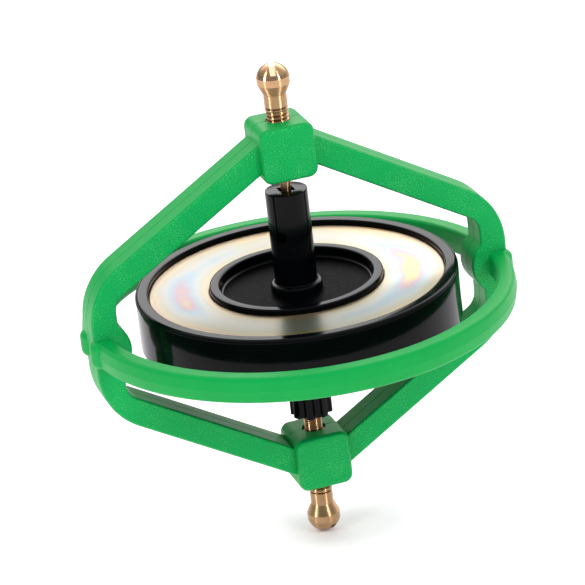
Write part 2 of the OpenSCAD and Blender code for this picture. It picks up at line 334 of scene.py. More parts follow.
def frame_half(name, node):
    """One moulding, made facing forward: the arms, both half blocks, half of the ring and its two knobs."""
    outer_round, inner_round, swell_round = 0.8 * mm, 0.7 * mm, 0.3 * mm
    arms = plate(name, [frame_outline, window_outline], arm_t / 2, arm_round)
    parts = [plate("hub", [hub_outline(side * hub_mid)], hub_d / 2, hub_round) for side in (-1, 1)]
    section = rounded_loop([
        (ring_in, 0, swell_round),
        (ring_in + ring_inner_lean, -ring_h / 2, inner_round),
        (ring_out - ring_lean, -ring_h / 2, outer_round),
        (ring_out, 0, swell_round),
        (ring_out - ring_lean, ring_h / 2, outer_round),
        (ring_in + ring_inner_lean, ring_h / 2, inner_round)])
    end = math.asin(knob_y / ring_out)
    parts.append(turned("ring", section, ring_facets, True, turns=(math.pi + end, 2 * math.pi - end)))
    side = arc((knob_r - knob_edge, knob_h / 2 - knob_edge), knob_edge, 0, math.pi / 2, 8)
    knob = [(0, -knob_h / 2), *[(r, -z) for r, z in reversed(side)], *side, (0, knob_h / 2)]
    parts.extend(turned("knob", knob, knob_facets, centre=(s * knob_x, -knob_y)) for s in (-1, 1))
    combine(arms, parts, "UNION")
    bore = [(0, -hub_h), (screw_bore_r, -hub_h), (screw_bore_r, hub_h), (0, hub_h)]
    bores = [turned("bore", [(r, z + s * hub_mid) for r, z in bore], bore_facets) for s in (-1, 1)]
    combine(arms, bores, "DIFFERENCE")
    if node == "frame_back":
        arms.data.transform(Matrix.Rotation(math.pi, 4, "Z"))
    smooth(arms)
    arms.data.materials.clear()
    arms.data.materials.append(abs_green)
    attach(arms, "frame")
    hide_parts(node)


frame_half("moulded_front_half", "frame_front")
frame_half("moulded_back_half", "frame_back")


# ----------------------------------------------------------------------------------------------------------
# Adjusting screws. Each is turned from brass bar: a slotted ball head, a plain neck, an M4 thread that runs
# in the hub block's bore, and a thin pin whose journal carries the rotor. They are set by a screwdriver.

cup_depth = 1.6 * mm
shoulder_gap = 0.1 * mm
journal_l = 1.1 * mm
journal_start = spindle_end - cup_depth + shoulder_gap
journal_tip = journal_start - journal_l
journal_r = 0.5 * mm
neck_r = 1.95 * mm
thread_out = 2.3 * mm
neck_l = 2.4 * mm
cone_h = 1.6 * mm
band_h = 1.3 * mm
ball_h = 5.1 * mm
pin_end = hub_in + 0.5 * mm
thread_start = hub_in + 0.8 * mm
neck_start = hub_out + thread_out
ball_start = neck_start + neck_l
cone_top = ball_start + cone_h
band_top = cone_top + band_h
ball_top = ball_start + ball_h
ball_r = 2.8 * mm
slot_w = 1 * mm
slot_depth = 1.5 * mm
upper_slot_turn = math.radians(-14)
lower_slot_turn = math.radians(-22)
thread_pitch = 0.7 * mm
thread_depth = 0.36 * mm
neck_groove = 0.3 * mm
pin_r = 1.15 * mm
shank_r = 1.55 * mm
shank_pitch = 0.35 * mm
shank_depth = 0.14 * mm
screw_edge = 0.15 * mm
screw_facets = 128
dome_steps = 24
points_a_turn = 14


def thread_tree():
    """A node tree that cuts a right-hand thread into a turned surface, between two heights."""
    tree = bpy.data.node_groups.new("cut_thread", "GeometryNodeTree")
    tree.interface.new_socket("Geometry", in_out="INPUT", socket_type="NodeSocketGeometry")
    for name in ("Pitch", "Depth", "Low", "High", "Core"):
        tree.interface.new_socket(name, in_out="INPUT", socket_type="NodeSocketFloat")
    tree.interface.new_socket("Material", in_out="INPUT", socket_type="NodeSocketMaterial")
    tree.interface.new_socket("Geometry", in_out="OUTPUT", socket_type="NodeSocketGeometry")
    source = add(tree, "NodeGroupInput").outputs
    at = add(tree, "ShaderNodeSeparateXYZ", inputs={0: add(tree, "GeometryNodeInputPosition").outputs[0]})
    angle = add(tree, "ShaderNodeMath", {"operation": "ARCTAN2"}, {0: at.outputs["Y"], 1: at.outputs["X"]})
    share = add(tree, "ShaderNodeMath", {"operation": "DIVIDE"}, {0: angle.outputs[0], 1: 2 * math.pi})
    turn = add(tree, "ShaderNodeMath", {"operation": "DIVIDE"}, {0: at.outputs["Z"], 1: source["Pitch"]})
    phase = add(tree, "ShaderNodeMath", {"operation": "SUBTRACT"}, {0: turn.outputs[0], 1: share.outputs[0]})
    wave = add(tree, "ShaderNodeMath", {"operation": "PINGPONG"}, {0: phase.outputs[0], 1: 0.5})
    groove = add(tree, "ShaderNodeMath", {"operation": "MULTIPLY"}, {0: wave.outputs[0], 1: 2.0})
    deep = add(tree, "ShaderNodeMath", {"operation": "MULTIPLY"}, {0: groove.outputs[0], 1: source["Depth"]})
    low_in = add(tree, "ShaderNodeMath", {"operation": "ADD"}, {0: source["Low"], 1: source["Pitch"]})
    high_in = add(tree, "ShaderNodeMath", {"operation": "SUBTRACT"}, {0: source["High"], 1: source["Pitch"]})
    starts = add(tree, "ShaderNodeMapRange", inputs={
        "Value": at.outputs["Z"], "From Min": source["Low"], "From Max": low_in.outputs[0]})
    stops = add(tree, "ShaderNodeMapRange", inputs={
        "Value": at.outputs["Z"], "From Min": high_in.outputs[0], "From Max": source["High"],
        "To Min": 1.0, "To Max": 0.0})
    flat = add(tree, "ShaderNodeCombineXYZ", inputs={"X": at.outputs["X"], "Y": at.outputs["Y"]})
    radius = add(tree, "ShaderNodeVectorMath", {"operation": "LENGTH"}, {0: flat.outputs[0]})
    outside = add(tree, "ShaderNodeMath", {"operation": "GREATER_THAN"},
                  {0: radius.outputs["Value"], 1: source["Core"]})
    cut = deep
    for gate in (starts.outputs["Result"], stops.outputs["Result"], outside.outputs[0]):
        cut = add(tree, "ShaderNodeMath", {"operation": "MULTIPLY"}, {0: cut.outputs[0], 1: gate})
    out = add(tree, "ShaderNodeVectorMath", {"operation": "NORMALIZE"}, {0: flat.outputs[0]})
    back = add(tree, "ShaderNodeMath", {"operation": "MULTIPLY"}, {0: cut.outputs[0], 1: -1.0})
    offset = add(tree, "ShaderNodeVectorMath", {"operation": "SCALE"},
                 {0: out.outputs[0], "Scale": back.outputs[0]})
    moved = add(tree, "GeometryNodeSetPosition", inputs={
        "Geometry": source["Geometry"], "Offset": offset.outputs[0]})
    real = add(tree, "GeometryNodeRealizeInstances", inputs={0: moved.outputs[0]})
    dressed = add(tree, "GeometryNodeSetMaterial", inputs={
        "Geometry": real.outputs[0], "Material": source["Material"]})
    add(tree, "NodeGroupOutput", inputs={0: dressed.outputs[0]})
    return tree


def apply_tree(piece, tree, values):
    """Runs a node tree on a piece with its named inputs set, and keeps the mesh that it makes."""
    step = piece.modifiers.new(tree.name, "NODES")
    step.node_group = tree
    for item in tree.interface.items_tree:
        if item.in_out == "INPUT" and item.name in values:
            step[item.identifier] = values[item.name]
    bake(piece)


# Free-cutting brass, straight off the lathe. It is bright and warm, with fine rings where the tool fed across
# it. The cone and the neck were cut faster and are duller, and the colour is darker towards the roots of the
# thread.
def turned_brass():
    material, tree = new_material("turned_brass")
    place = add(tree, "ShaderNodeTexCoord")
    feed = 0.12 * mm
    squash = add(tree, "ShaderNodeMapping", inputs={
        "Vector": place.outputs["Object"], "Scale": (1 / (3 * mm), 1 / (3 * mm), 1 / feed)})
    rings = add(tree, "ShaderNodeTexNoise", inputs={"Vector": squash.outputs[0], "Scale": 1.0, "Detail": 3.0})
    tarnish = add(tree, "ShaderNodeTexNoise", inputs={
        "Vector": place.outputs["Object"], "Scale": 1 / (1.6 * mm), "Detail": 3.0})
    colour = add(tree, "ShaderNodeMix", {"data_type": "RGBA"}, {
        "Factor": tarnish.outputs["Fac"], "A": linear("#A8825E"), "B": linear("#BA9974")})
    where = add(tree, "ShaderNodeSeparateXYZ", inputs={0: place.outputs["Object"]})
    height = add(tree, "ShaderNodeMath", {"operation": "ABSOLUTE"}, {0: where.outputs["Z"]})
    flat = add(tree, "ShaderNodeCombineXYZ", inputs={"X": where.outputs["X"], "Y": where.outputs["Y"]})
    radius = add(tree, "ShaderNodeVectorMath", {"operation": "LENGTH"}, {0: flat.outputs[0]})
    root = add(tree, "ShaderNodeMapRange", inputs={
        "Value": radius.outputs["Value"], "From Min": 1.6 * mm, "From Max": 1.9 * mm,
        "To Min": 1.0, "To Max": 0.0})
    on_thread = add(tree, "ShaderNodeMath", {"operation": "COMPARE"}, {
        0: height.outputs[0], 1: (hub_in + neck_start) / 2, 2: (neck_start - hub_in) / 2})
    # The colour is darker towards the roots of the thread.
    thread_root_darkening = add(tree, "ShaderNodeMath", {"operation": "MULTIPLY"},
                {0: root.outputs["Result"], 1: on_thread.outputs[0]})
    root_darkened_colour = add(tree, "ShaderNodeMix", {"data_type": "RGBA"}, {
        "Factor": thread_root_darkening.outputs[0], "A": colour.outputs["Result"], "B": linear("#6B4630")})
    stem = add(tree, "ShaderNodeMath", {"operation": "LESS_THAN"}, {0: height.outputs[0], 1: cone_top})
    turned_mark = add(tree, "ShaderNodeMapRange", inputs={
        "Value": rings.outputs["Fac"], "To Min": 0.15, "To Max": 0.25})
    stem_mark = add(tree, "ShaderNodeMath", {"operation": "MULTIPLY_ADD"}, {
        0: stem.outputs[0], 1: 0.12, 2: turned_mark.outputs["Result"]})
    cone = add(tree, "ShaderNodeMath", {"operation": "COMPARE"}, {
        0: height.outputs[0], 1: (ball_start + cone_top) / 2, 2: (cone_top - ball_start) / 2})
    roughness = add(tree, "ShaderNodeMath", {"operation": "MULTIPLY_ADD"}, {
        0: cone.outputs[0], 1: 0.14, 2: stem_mark.outputs[0]})
    bump = add(tree, "ShaderNodeBump", inputs={
        "Strength": 0.35, "Distance": 0.008 * mm, "Height": rings.outputs["Fac"]})
    lathe = add(tree, "ShaderNodeTangent", {"direction_type": "RADIAL", "axis": "Z"})
    shader = add(tree, "ShaderNodeBsdfPrincipled", inputs={
        "Base Color": root_darkened_colour.outputs["Result"], "Metallic": 1.0, "Roughness": roughness.outputs[0],
        "Anisotropic": 1.0, "Anisotropic Rotation": 0.25, "Tangent": lathe.outputs[0],
        "Normal": bump.outputs["Normal"]})
    add(tree, "ShaderNodeOutputMaterial", inputs={"Surface": shader.outputs[0]})
    return material


brass = turned_brass()
cut_thread = thread_tree()


def run(radius, low, high, pitch):
    """Profile points up a straight stretch, close enough together for a thread of this pitch."""
    steps = round((high - low) / pitch * points_a_turn)
    return [(radius, low + (high - low) * k / steps) for k in range(steps + 1)]


def ball_screw(name, node, shank, slot_turn, up):
    """A screw made pointing up, from its journal to its ball head. The lower one is then turned over."""
    band_r = ball_r - 0.02 * mm
    dome_h = ball_top - band_top
    dome_r = (band_r ** 2 + dome_h ** 2) / (2 * dome_h)
    dome_edge = math.asin(band_r / dome_r)
    dome = [(dome_r * math.sin(t), ball_top - dome_r * (1 - math.cos(t)))
            for t in [dome_edge * (1 - k / dome_steps) for k in range(dome_steps + 1)]]
    profile = [
        (0, journal_tip), (journal_r - screw_edge, journal_tip), (journal_r, journal_tip + screw_edge),
        (journal_r, journal_start), (0.8 * mm, spindle_end),
        *shank,
        (thread_r - 0.3 * mm, pin_end), (thread_r, thread_start),
        *run(thread_r, hub_out - 0.9 * mm, neck_start - 0.25 * mm, thread_pitch),
        (neck_r - neck_groove, neck_start - 0.1 * mm), (neck_r - neck_groove, neck_start),
        (neck_r, neck_start + 0.1 * mm),
        (neck_r, ball_start - 0.15 * mm), (neck_r + 0.08 * mm, ball_start),
        (ball_r - 0.05 * mm, cone_top - 0.04 * mm), (ball_r, cone_top + 0.02 * mm),
        (ball_r, band_top - 0.03 * mm),
        *dome]
    piece = turned(name, profile, screw_facets)
    threads = [(thread_pitch, thread_depth, hub_out - 1 * mm, neck_start - 0.2 * mm, thread_r - 0.1 * mm)]
    if shank is thick_shank:
        threads.append((shank_pitch, shank_depth, shank[0][1], pin_end, shank_r - 0.15 * mm))
    for pitch, depth, low, high, core in threads:
        apply_tree(piece, cut_thread, {
            "Pitch": pitch, "Depth": depth, "Low": low, "High": high, "Core": core, "Material": brass})
    size = (slot_w / 2, ball_r + 1 * mm, slot_depth)
    slot = bpy.data.objects.new("slot", bpy.data.meshes.new("slot"))
    box = bmesh.new()
    bmesh.ops.create_cube(box, size=2)
    box.transform(Matrix.Translation((0, 0, ball_top)) @ Matrix.Rotation(slot_turn, 4, "Z")
                  @ Matrix.Diagonal((*size, 1)))
    box.to_mesh(slot.data)
    box.free()
    bpy.context.scene.collection.objects.link(slot)
    combine(piece, [slot], "DIFFERENCE")
    if not up:
        piece.data.transform(Matrix.Rotation(math.pi, 4, "X"))
    piece.data.materials.clear()
    piece.data.materials.append(brass)
    smooth(piece, 24)
    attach(piece, node)
    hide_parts(node)


thin_pin = [(pin_r, hub_in + 0.3 * mm), (pin_r, pin_end)]
thick_shank = [(pin_r, spindle_end + 0.3 * mm), (pin_r + 0.2 * mm, spindle_end + 0.35 * mm),
               *run(shank_r, spindle_end + 0.55 * mm, pin_end, shank_pitch)]
ball_screw("upper_ball_screw", "top_screw", thin_pin, upper_slot_turn, True)
ball_screw("lower_ball_screw", "bottom_screw", thick_shank, lower_slot_turn, False)


# ----------------------------------------------------------------------------------------------------------
# Rotor wheel. One black moulding with a tall outer rim, a raised rim round a dish in the middle, and a trough
# between the two that holds the steel ring. The mould was polished, so it is glossy, with soft rims.

rotor_r = 27.3 * mm
rotor_top = 4.75 * mm
rim_w = 2.25 * mm
rim_in = rotor_r - rim_w
dish_rim_r = 14.7 * mm
dish_rim_w = 1.75 * mm
dish_r = dish_rim_r - dish_rim_w
dish_depth = 2.2 * mm
dish_z = rotor_top - dish_depth
weight_drop = 0.95 * mm
weight_t = 6 * mm
weight_top = rotor_top - weight_drop
weight_low = weight_top - weight_t
spindle_r = 3.6 * mm
flange_r = 4.4 * mm
dish_rise = 0.35 * mm
press_gap = 0.02 * mm
wheel_facets = 256


# High-gloss black styrene. The polished mould gives a mirror-like skin with a faint waviness, and handling
# leaves a few soft smears.
def polished_black():
    material, tree = new_material("polished_black_styrene")
    place = add(tree, "ShaderNodeTexCoord")
    smear = add(tree, "ShaderNodeTexNoise", inputs={
        "Vector": place.outputs["Object"], "Scale": 1 / (6 * mm), "Detail": 4.0, "Roughness": 0.6})
    wave = add(tree, "ShaderNodeTexNoise", inputs={
        "Vector": place.outputs["Object"], "Scale": 1 / (3 * mm), "Detail": 1.0})
    roughness = add(tree, "ShaderNodeMapRange", inputs={
        "Value": smear.outputs["Fac"], "From Min": 0.35, "From Max": 0.7, "To Min": 0.07, "To Max": 0.16})
    colour = add(tree, "ShaderNodeMix", {"data_type": "RGBA"}, {
        "Factor": smear.outputs["Fac"], "A": linear("#020304"), "B": linear("#06070A")})
    bump = add(tree, "ShaderNodeBump", inputs={
        "Strength": 0.12, "Distance": 0.02 * mm, "Height": wave.outputs["Fac"]})
    shader = add(tree, "ShaderNodeBsdfPrincipled", inputs={
        "Base Color": colour.outputs["Result"], "Roughness": roughness.outputs["Result"],
        "IOR": 1.56, "Specular IOR Level": 0.07, "Normal": bump.outputs["Normal"]})
    add(tree, "ShaderNodeOutputMaterial", inputs={"Surface": shader.outputs[0]})
    return material


# The same styrene where the mould was spark-eroded, on the floors of the dishes. It is dull and fine-grained.
def eroded_black():
    material, tree = new_material("eroded_black_styrene")
    place = add(tree, "ShaderNodeTexCoord")
    grain = add(tree, "ShaderNodeTexNoise", inputs={
        "Vector": place.outputs["Object"], "Scale": 1 / (0.25 * mm), "Detail": 2.0})
    colour = add(tree, "ShaderNodeMix", {"data_type": "RGBA"}, {
        "Factor": grain.outputs["Fac"], "A": linear("#010102"), "B": linear("#040506")})
    roughness = add(tree, "ShaderNodeMapRange", inputs={
        "Value": grain.outputs["Fac"], "From Min": 0.3, "From Max": 0.7, "To Min": 0.3, "To Max": 0.55})
    bump = add(tree, "ShaderNodeBump", inputs={
        "Strength": 0.5, "Distance": 0.03 * mm, "Height": grain.outputs["Fac"]})
    shader = add(tree, "ShaderNodeBsdfPrincipled", inputs={
        "Base Color": colour.outputs["Result"], "Roughness": roughness.outputs["Result"],
        "IOR": 1.56, "Specular IOR Level": 0.01, "Normal": bump.outputs["Normal"]})
    add(tree, "ShaderNodeOutputMaterial", inputs={"Surface": shader.outputs[0]})
    return material


black = polished_black()
rim_round = 0.7 * mm
lip_round = 0.35 * mm
dish_round = 0.5 * mm
trough_round = 0.2 * mm
wheel_profile = rounded_loop([
    (spindle_r + press_gap, -dish_z, 0),
    (dish_r, -dish_z, dish_round),
    (dish_r, -rotor_top, lip_round),
    (dish_rim_r, -rotor_top, lip_round),
    (dish_rim_r, -weight_top, trough_round),
    (rim_in, -weight_top, trough_round),
    (rim_in, -rotor_top, lip_round),
    (rotor_r, -rotor_top, rim_round),
    (rotor_r, rotor_top, rim_round),
    (rim_in, rotor_top, lip_round),
    (rim_in, weight_low, 0),
    (dish_rim_r, weight_low, 0),
    (dish_rim_r, rotor_top, lip_round),
    (dish_r, rotor_top, lip_round),
    (dish_r, dish_z + dish_rise, dish_round),
    (flange_r, dish_z, 0),
    (spindle_r + press_gap, dish_z, 0)])
wheel = turned("dished_rotor_wheel", wheel_profile, wheel_facets, True)
smooth(wheel)
wheel.data.materials.append(black)
wheel.data.materials.append(eroded_black())
for face in wheel.data.polygons:
    in_dish = flange_r - 0.1 * mm < math.hypot(*face.center[:2]) < dish_r - dish_round
    face.material_index = int(in_dish and abs(face.normal.z) > 0.9 and abs(face.center.z) < rotor_top - mm)
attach(wheel, "rotor")
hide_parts("rotor_wheel")


# ----------------------------------------------------------------------------------------------------------
# Weight ring. A thick steel ring, faced on the lathe and zinc plated, which gives the rotor most of its
# weight. It is pressed into the wheel's trough, and its face lies a little below the two rims.

# Zinc plate with a clear passivate. The film thins towards both edges and is thickest on two sides, where the
# ring drained, so pale silver runs into straw and rose at the edges, and into light blue and rose on those
# sides. The plate's colour is painted brighter towards one side and darker towards the other, as a painted
# reflection.
def passivated_zinc():
    material, tree = new_material("passivated_zinc_plate")
    place = add(tree, "ShaderNodeTexCoord")
    drain_turn = math.radians(15.8)
    drained = add(tree, "ShaderNodeMapping", inputs={
        "Vector": place.outputs["Object"], "Rotation": (0.0, 0.0, drain_turn)})
    wobble = add(tree, "ShaderNodeTexNoise", inputs={
        "Vector": place.outputs["Object"], "Scale": 1 / (7 * mm), "Detail": 2.0, "Roughness": 0.5})
    at = add(tree, "ShaderNodeSeparateXYZ", inputs={0: drained.outputs[0]})
    flat = add(tree, "ShaderNodeCombineXYZ", inputs={"X": at.outputs["X"], "Y": at.outputs["Y"]})
    radius = add(tree, "ShaderNodeVectorMath", {"operation": "LENGTH"}, {0: flat.outputs[0]})
    across = add(tree, "ShaderNodeMapRange", inputs={
        "Value": radius.outputs["Value"], "From Min": dish_rim_r, "From Max": rim_in})
    inward = add(tree, "ShaderNodeMath", {"operation": "POWER"}, {0: across.outputs["Result"], 1: 0.88})
    from_edge = add(tree, "ShaderNodeMath", {"operation": "PINGPONG"}, {0: inward.outputs[0], 1: 0.5})
    rise = add(tree, "ShaderNodeMapRange", {"interpolation_type": "SMOOTHSTEP"}, {
        "Value": from_edge.outputs[0], "From Min": -0.1, "From Max": 0.5})
    side = add(tree, "ShaderNodeMath", {"operation": "DIVIDE"}, {
        0: at.outputs["X"], 1: radius.outputs["Value"]})
    sides = add(tree, "ShaderNodeMath", {"operation": "POWER"}, {
        0: add(tree, "ShaderNodeMath", {"operation": "ABSOLUTE"}, {0: side.outputs[0]}).outputs[0], 1: 4.5})
    lobe = add(tree, "ShaderNodeMapRange", inputs={"Value": sides.outputs[0], "To Min": 0.55, "To Max": 0.98})
    peak = add(tree, "ShaderNodeMath", {"operation": "MULTIPLY_ADD"}, {
        0: side.outputs[0], 1: 0.05, 2: lobe.outputs["Result"]})
    film = add(tree, "ShaderNodeMath", {"operation": "MULTIPLY"}, {
        0: rise.outputs["Result"], 1: peak.outputs[0]})
    uneven = add(tree, "ShaderNodeMapRange", inputs={
        "Value": wobble.outputs["Fac"], "From Min": 0.3, "From Max": 0.7, "To Min": -0.1, "To Max": 0.1})
    thickness = add(tree, "ShaderNodeMath", {"operation": "ADD"}, {
        0: film.outputs[0], 1: uneven.outputs["Result"]})
    tint = add(tree, "ShaderNodeValToRGB", inputs={0: thickness.outputs[0]})
    stops = [(0.0, "#B0946A"), (0.1, "#B9AA8A"), (0.17, "#B09684"), (0.25, "#AEA282"), (0.36, "#A29C8C"),
             (0.6, "#A2A19B"), (0.75, "#8D9DA5"), (0.9, "#A0888F"), (1.0, "#AE9A72")]
    while len(tint.color_ramp.elements) < len(stops):
        tint.color_ramp.elements.new(0.5)
    for element, (position, colour) in zip(tint.color_ramp.elements, stops):
        element.position = position
        element.color = linear(colour)
    # Painted reflection: the plate's colour is scaled brighter towards this side and darker towards the
    # other.
    painted_reflection_turn = math.radians(29)
    painted_reflection_side = (math.cos(painted_reflection_turn), math.sin(painted_reflection_turn), 0.0)
    facing = add(tree, "ShaderNodeVectorMath", {"operation": "DOT_PRODUCT"},
                 {0: place.outputs["Object"], 1: painted_reflection_side})
    painted_reflection_strength = add(tree, "ShaderNodeMapRange", inputs={
        "Value": facing.outputs["Value"], "From Min": -rim_in, "From Max": rim_in,
        "To Min": 0.53, "To Max": 1.15})
    plate_colour = add(tree, "ShaderNodeVectorMath", {"operation": "SCALE"}, {
        0: tint.outputs["Color"], "Scale": painted_reflection_strength.outputs["Result"]})
    feed = 0.1 * mm
    turned_ring = add(tree, "ShaderNodeMath", {"operation": "DIVIDE"}, {0: radius.outputs["Value"], 1: feed})
    grooves = add(tree, "ShaderNodeTexNoise", {"noise_dimensions": "1D"},
                  {"W": turned_ring.outputs[0], "Scale": 1.0, "Detail": 2.0})
    grit = add(tree, "ShaderNodeTexNoise", inputs={
        "Vector": place.outputs["Object"], "Scale": 1 / (0.25 * mm), "Detail": 2.0})
    surface = add(tree, "ShaderNodeMath", {"operation": "ADD"}, {
        0: grooves.outputs["Fac"], 1: grit.outputs["Fac"]})
    roughness = add(tree, "ShaderNodeMapRange", inputs={
        "Value": grit.outputs["Fac"], "To Min": 0.3, "To Max": 0.42})
    bump = add(tree, "ShaderNodeBump", inputs={
        "Strength": 0.3, "Distance": 0.006 * mm, "Height": surface.outputs[0]})
    lathe = add(tree, "ShaderNodeTangent", {"direction_type": "RADIAL", "axis": "Z"})
    shader = add(tree, "ShaderNodeBsdfPrincipled", inputs={
        "Base Color": plate_colour.outputs[0], "Metallic": 1.0, "Roughness": roughness.outputs["Result"],
        "Anisotropic": 0.9, "Anisotropic Rotation": 0.25, "Tangent": lathe.outputs[0],
        "Normal": bump.outputs["Normal"]})
    add(tree, "ShaderNodeOutputMaterial", inputs={"Surface": shader.outputs[0]})
    return material


weight_low_round = 0.2 * mm
weight_top_round = 0.3 * mm
weight_profile = rounded_loop([
    (dish_rim_r + press_gap, weight_low, weight_low_round),
    (rim_in - press_gap, weight_low, weight_low_round),
    (rim_in - press_gap, weight_top, weight_top_round),
    (dish_rim_r + press_gap, weight_top, weight_top_round)], 4)
weight = turned("steel_weight_ring", weight_profile, wheel_facets, True)
smooth(weight)
weight.data.materials.append(passivated_zinc())
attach(weight, "rotor")
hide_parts("weight_ring")


# ----------------------------------------------------------------------------------------------------------
# Spindle. A black moulded rod pushed through the wheel until its flange seats in the dish. It has a cross
# hole for the starting string, grooves round its lower end, and a cross-slotted bearing cup in each end.

flange_t = 1.5 * mm
flange_top = dish_z + flange_t
flange_round = 0.5 * mm
foot_round = 0.25 * mm
string_r = 1 * mm
string_z = 13 * mm
rotor_turn = math.radians(-44)
groove_r = 0.85 * mm
groove_depth = 0.75 * mm
teeth_l = 6.5 * mm
groove_top = teeth_l - spindle_end
groove_length = 8 * mm
groove_count = 8
groove_facets = 40
cup_r = 1.35 * mm
journal_bore_r = 0.55 * mm
cross_slot_l = 3.4 * mm
cross_slot_w = 0.7 * mm
end_round = 0.15 * mm
recess_facets = 48
spindle_facets = 128


def flute_tree():
    """A node tree that cuts evenly spaced round grooves up the lower end of an upright rod."""
    tree = bpy.data.node_groups.new("cut_grooves", "GeometryNodeTree")
    tree.interface.new_socket("Geometry", in_out="INPUT", socket_type="NodeSocketGeometry")
    tree.interface.new_socket("Grooves", in_out="INPUT", socket_type="NodeSocketInt")
    for name in ("Groove radius", "Circle radius", "Top", "Length"):
        tree.interface.new_socket(name, in_out="INPUT", socket_type="NodeSocketFloat")
    tree.interface.new_socket("Material", in_out="INPUT", socket_type="NodeSocketMaterial")
    tree.interface.new_socket("Geometry", in_out="OUTPUT", socket_type="NodeSocketGeometry")
    source = add(tree, "NodeGroupInput").outputs
    centres = add(tree, "GeometryNodeMeshCircle", inputs={
        "Vertices": source["Grooves"], "Radius": source["Circle radius"]})
    cutter = add(tree, "GeometryNodeMeshCylinder", inputs={
        "Vertices": groove_facets, "Radius": source["Groove radius"], "Depth": source["Length"]})
    half = add(tree, "ShaderNodeMath", {"operation": "MULTIPLY"}, {0: source["Length"], 1: -0.5})
    middle = add(tree, "ShaderNodeMath", {"operation": "ADD"}, {0: source["Top"], 1: half.outputs[0]})
    lift = add(tree, "ShaderNodeCombineXYZ", inputs={"Z": middle.outputs[0]})
    placed = add(tree, "GeometryNodeTransform", inputs={
        "Geometry": centres.outputs[0], "Translation": lift.outputs[0]})
    spread = add(tree, "GeometryNodeInstanceOnPoints", inputs={
        "Points": placed.outputs[0], "Instance": cutter.outputs[0]})
    cutters = add(tree, "GeometryNodeRealizeInstances", inputs={0: spread.outputs[0]})
    cut = add(tree, "GeometryNodeMeshBoolean", {"operation": "DIFFERENCE", "solver": "MANIFOLD"}, {
        0: source["Geometry"], 1: cutters.outputs[0]})
    real = add(tree, "GeometryNodeRealizeInstances", inputs={0: cut.outputs[0]})
    dressed = add(tree, "GeometryNodeSetMaterial", inputs={
        "Geometry": real.outputs[0], "Material": source["Material"]})
    add(tree, "NodeGroupOutput", inputs={0: dressed.outputs[0]})
    return tree


def upright_box(centre, size, turn=0):
    """A box to cut with, turned about the upright axis."""
    box = bpy.data.objects.new("box", bpy.data.meshes.new("box"))
    shape = bmesh.new()
    bmesh.ops.create_cube(shape, size=1)
    shape.transform(Matrix.Rotation(turn, 4, "Z") @ Matrix.Translation(centre) @ Matrix.Diagonal((*size, 1)))
    shape.to_mesh(box.data)
    shape.free()
    bpy.context.scene.collection.objects.link(box)
    return box


spindle_profile = [
    (0, -spindle_end),
    *arc((spindle_r - end_round, end_round - spindle_end), end_round, -math.pi / 2, 0, 3),
    (spindle_r, dish_z - 0.01 * mm),
    (flange_r, dish_z),
    *arc((flange_r - flange_round, flange_top - flange_round), flange_round, 0, math.pi / 2, 8),
    *arc((spindle_r + foot_round, flange_top + foot_round), foot_round, 1.5 * math.pi, math.pi, 6),
    *arc((spindle_r - end_round, spindle_end - end_round), end_round, 0, math.pi / 2, 3),
    (0, spindle_end)]
spindle = turned("grooved_spindle", spindle_profile, spindle_facets)
apply_tree(spindle, flute_tree(), {
    "Grooves": groove_count, "Groove radius": groove_r, "Circle radius": spindle_r + groove_r - groove_depth,
    "Top": groove_top, "Length": groove_length, "Material": black})
cutters = []
for end in (-1, 1):
    for radius, floor_z, open_z in ((cup_r, spindle_end - cup_depth, spindle_end + mm),
                                    (journal_bore_r, journal_tip - 0.1 * mm, spindle_end)):
        hollow = [(0, floor_z), (radius, floor_z), (radius, open_z), (0, open_z)]
        cutters.append(turned("hollow", [(r, end * z) for r, z in hollow], recess_facets))
    cross_z = end * (spindle_end + 0.2 * mm)
    cutters.extend(upright_box((0, 0, cross_z), (cross_slot_l, cross_slot_w, 2 * mm), turn)
                   for turn in (0, math.pi / 2))
hole = turned("hole", [(0, -5 * mm), (string_r, -5 * mm), (string_r, 5 * mm), (0, 5 * mm)], recess_facets)
hole.data.transform(Matrix.Translation((0, 0, string_z)) @ Matrix.Rotation(math.pi / 2, 4, "X"))
combine(spindle, [*cutters, hole], "DIFFERENCE")
spindle.data.transform(Matrix.Rotation(rotor_turn, 4, "Z"))
spindle.data.materials.clear()
spindle.data.materials.append(black)
smooth(spindle)
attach(spindle, "rotor")
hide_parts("spindle")


# ----------------------------------------------------------------------------------------------------------
# Studio. The gyroscope stands on its lower ball head on a plain pale sweep, under soft boxes, and leans in
# the frame because the camera is rolled. The sweep glows with painted light, dimmed close to the ball and to
# one side of it as a painted shadow.

floor_size = 6.0
floor_mesh = bpy.data.meshes.new("studio_floor")
corner = floor_size / 2
floor_corners = [(-corner, -corner), (corner, -corner), (corner, corner), (-corner, corner)]
floor_mesh.from_pydata([(x, y, -ball_top) for x, y in floor_corners], [], [(0, 1, 2, 3)])
floor = bpy.data.objects.new("studio_floor", floor_mesh)
bpy.context.scene.collection.objects.link(floor)
floor_material, floor_tree = new_material("matt_white_sweep")
floor_place = add(floor_tree, "ShaderNodeTexCoord")
# Painted shadow: the floor's painted glow is dimmed in an ellipse about this point, near the ball.
shade_centre = (3 * mm, -0.8 * mm, 0.0)
shade_turn = math.radians(-15.8)
shade_spread = (1.3, 0.75, 1.0)
floor_lie = add(floor_tree, "ShaderNodeMapping", {"vector_type": "TEXTURE"}, {
    "Vector": floor_place.outputs["Object"], "Location": shade_centre,
    "Rotation": (0.0, 0.0, shade_turn), "Scale": shade_spread})
floor_flat = add(floor_tree, "ShaderNodeVectorMath", {"operation": "MULTIPLY"}, {
    0: floor_lie.outputs[0], 1: (1.0, 1.0, 0.0)})
floor_reach = add(floor_tree, "ShaderNodeVectorMath", {"operation": "LENGTH"}, {0: floor_flat.outputs[0]})
